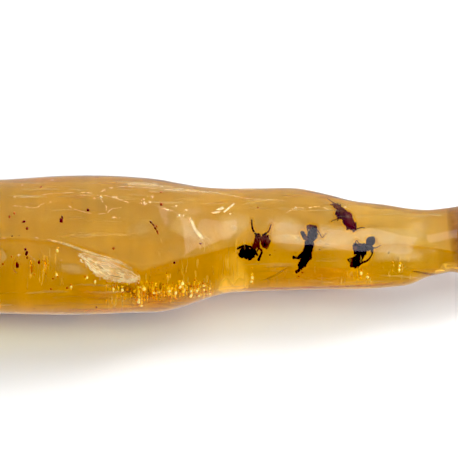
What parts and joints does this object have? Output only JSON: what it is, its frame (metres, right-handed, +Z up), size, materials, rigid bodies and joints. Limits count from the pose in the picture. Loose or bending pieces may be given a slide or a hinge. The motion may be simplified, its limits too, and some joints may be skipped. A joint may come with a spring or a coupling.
{
  "type": "insects in copal",
  "caption": "Polished honey-yellow lump of copal, thick at one end and drawn out to a small bulb at the other, with ants sealed inside it.",
  "frame": {"origin": "centre of the footprint, on the plane that the lump rests on", "axes": "+X along the lump from its thick end to its small bulb, +Z up; the polished window faces -Y and up"},
  "size_m": [0.0854, 0.0179, 0.0163],
  "materials": {
    "copal": "polished clear honey-yellow resin",
    "black_chitin": "satin",
    "red_chitin": "satin"
  },
  "bodies": {
    "root": {"copal_front": "copal", "copal_back": "copal", "curled_ant": "black_chitin", "long_ant": "black_chitin", "red_ant": "red_chitin", "winged_ant": "black_chitin"}
  },
  "joints": []
}
